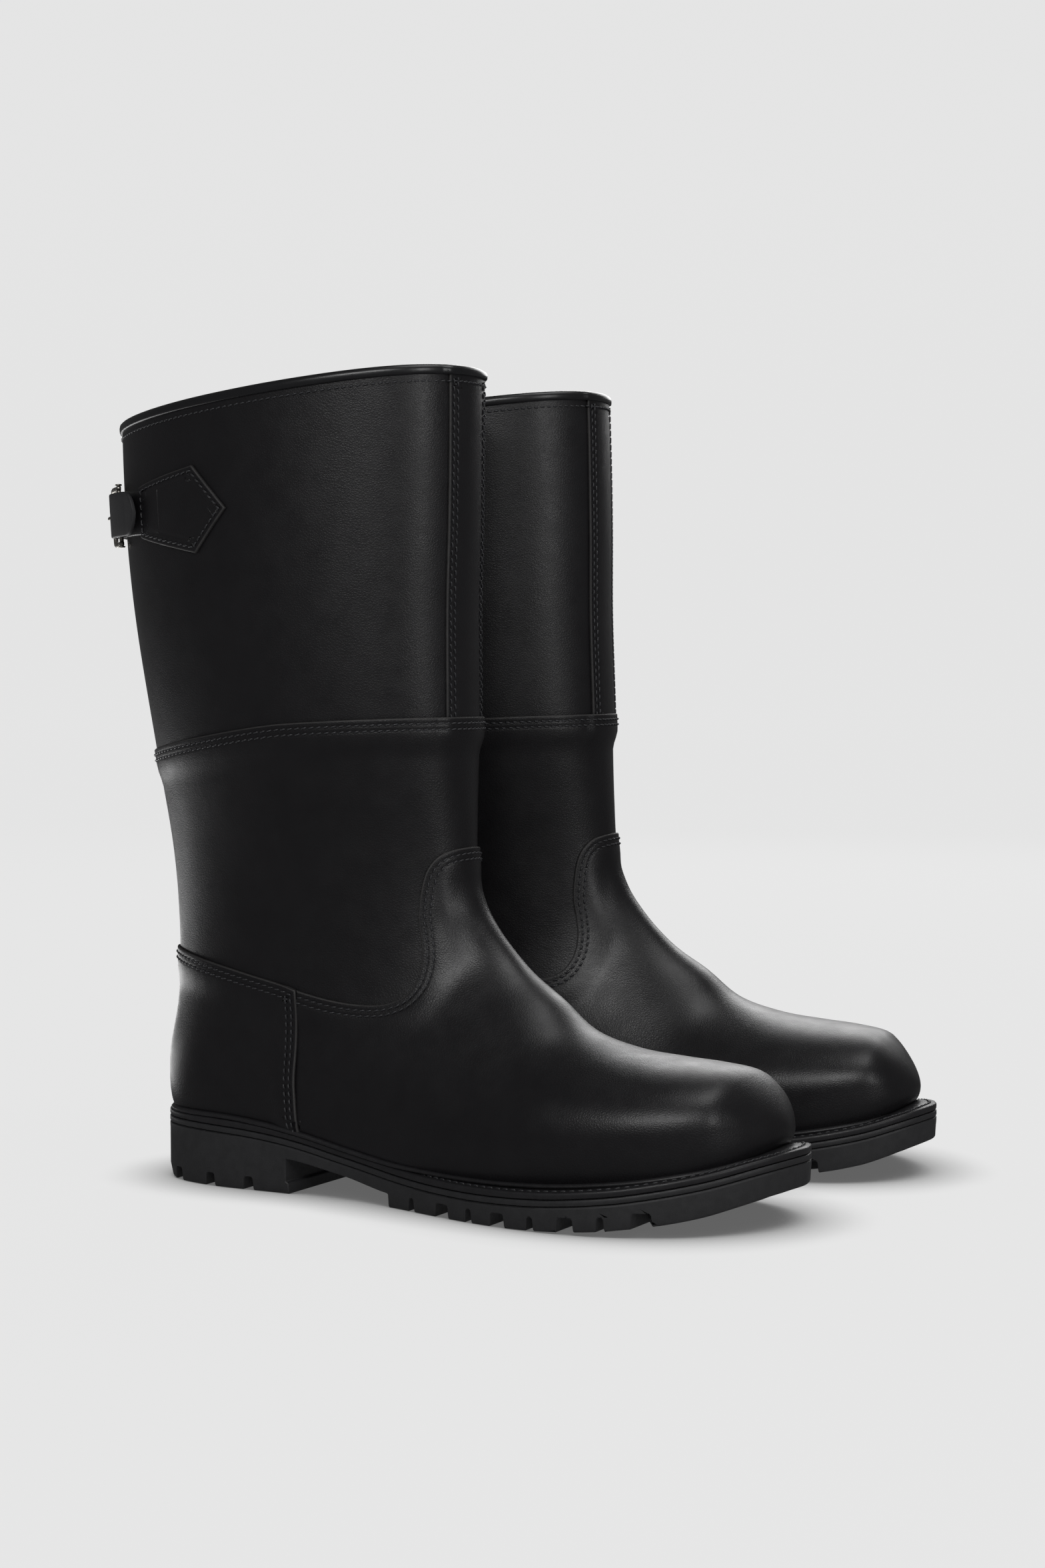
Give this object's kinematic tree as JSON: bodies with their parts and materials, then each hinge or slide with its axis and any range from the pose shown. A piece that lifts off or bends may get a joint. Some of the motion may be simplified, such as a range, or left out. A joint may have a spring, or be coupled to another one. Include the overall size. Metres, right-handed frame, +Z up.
{
  "type": "fire boots",
  "caption": "Pair of tall pull-on leather boots with a welted lugged rubber sole and an adjusting strap and buckle at the back of the shaft.",
  "frame": {"origin": "middle of the pair's footprint, on the ground", "axes": "+Z up; the toes point towards -Y; the wearer's right boot is on the -X side"},
  "size_m": [0.2582, 0.357, 0.3663],
  "materials": {
    "upper_leather": "black smooth full-grain leather, semi-gloss, fine pebble grain",
    "binding_leather": "black rolled leather edge, semi-gloss",
    "strap_leather": "dark grey matte leather strap",
    "lining_leather": "dark matte lining leather",
    "welt_leather": "black dressed welt leather, satin",
    "stiffener": "pressed fibre board",
    "insole_board": "natural insole leather",
    "cork": "cork sheet",
    "shank_steel": "plain spring steel",
    "midsole_rubber": "black rubber, satin edge",
    "sole_rubber": "moulded black rubber, satin, fine scuffs",
    "buckle_metal": "brushed antique silver, worn edges"
  },
  "bodies": {
    "boots": {"right_outsole": "sole_rubber", "right_midsole": "midsole_rubber", "right_welt": "welt_leather", "right_storm_rand": "welt_leather", "right_cork_filler": "cork", "right_shank": "shank_steel", "right_insole": "insole_board", "right_sock_liner": "lining_leather", "right_vamp": "upper_leather", "right_counter": "upper_leather", "right_lower_shaft": "upper_leather", "right_upper_shaft_outer": "upper_leather", "right_upper_shaft_inner": "upper_leather", "right_front_strip": "upper_leather", "right_back_strip": "upper_leather", "right_back_gusset": "upper_leather", "right_topline_binding": "binding_leather", "right_heel_stiffener": "stiffener", "right_toe_puff": "stiffener", "right_foot_lining": "lining_leather", "right_shaft_lining": "lining_leather", "right_strap_patch": "upper_leather", "right_billet_patch": "upper_leather", "right_billet_strap": "strap_leather", "left_outsole": "sole_rubber", "left_midsole": "midsole_rubber", "left_welt": "welt_leather", "left_storm_rand": "welt_leather", "left_cork_filler": "cork", "left_shank": "shank_steel", "left_insole": "insole_board", "left_sock_liner": "lining_leather", "left_vamp": "upper_leather", "left_counter": "upper_leather", "left_lower_shaft": "upper_leather", "left_upper_shaft_outer": "upper_leather", "left_upper_shaft_inner": "upper_leather", "left_front_strip": "upper_leather", "left_back_strip": "upper_leather", "left_back_gusset": "upper_leather", "left_topline_binding": "binding_leather", "left_heel_stiffener": "stiffener", "left_toe_puff": "stiffener", "left_foot_lining": "lining_leather", "left_shaft_lining": "lining_leather", "left_strap_patch": "upper_leather", "left_billet_patch": "upper_leather", "left_billet_strap": "strap_leather"},
    "right_frame": {"right_buckle_frame": "buckle_metal"},
    "right_prong": {"right_buckle_prong": "buckle_metal"},
    "left_frame": {"left_buckle_frame": "buckle_metal"},
    "left_prong": {"left_buckle_prong": "buckle_metal"}
  },
  "joints": [
    {"name": "right_frame_hinge", "type": "hinge", "parent": "boots", "child": "right_frame", "pos_m": [-0.08351, 0.16504, 0.30284], "axis": [-0.0273, 0.0512, 0.9983], "range_deg": [0, 20]},
    {"name": "right_prong_hinge", "type": "hinge", "parent": "right_frame", "child": "right_prong", "pos_m": [-0.08351, 0.16504, 0.30284], "axis": [-0.0273, 0.0512, 0.9983], "range_deg": [0, 35]},
    {"name": "left_frame_hinge", "type": "hinge", "parent": "boots", "child": "left_frame", "pos_m": [0.08314, 0.15428, 0.30278], "axis": [-0.0375, -0.0714, -0.9967], "range_deg": [0, 20]},
    {"name": "left_prong_hinge", "type": "hinge", "parent": "left_frame", "child": "left_prong", "pos_m": [0.08314, 0.15428, 0.30278], "axis": [-0.0375, -0.0714, -0.9967], "range_deg": [0, 35]}
  ]
}
